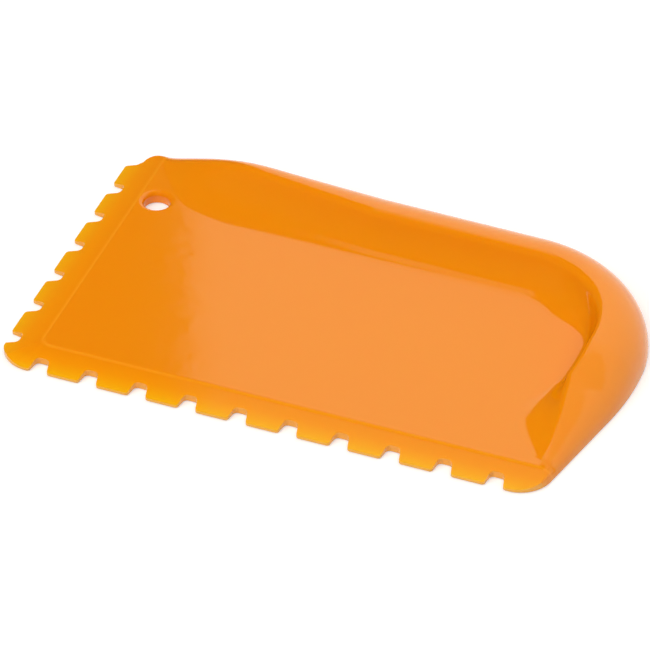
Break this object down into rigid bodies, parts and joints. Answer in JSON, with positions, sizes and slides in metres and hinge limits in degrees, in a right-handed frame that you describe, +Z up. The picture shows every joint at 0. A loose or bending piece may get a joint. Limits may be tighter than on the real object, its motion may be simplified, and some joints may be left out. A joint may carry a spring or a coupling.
{
  "type": "pan scraper",
  "caption": "Flat palm-sized pan and dough scraper moulded in one piece, with square teeth along two edges, a rolled hollow grip along the other two and a round hanging hole.",
  "frame": {"origin": "middle of the bounding box, on the plane that the scraper lies on", "axes": "+X along the long toothed edge towards the grip's side run, +Y from the long toothed edge towards the grip's rear run, +Z up out of the panel"},
  "size_m": [0.1156, 0.0706, 0.0082],
  "materials": {
    "scraper": "moulded orange plastic with a soft sheen"
  },
  "bodies": {
    "root": {"scraper": "scraper"}
  },
  "joints": []
}
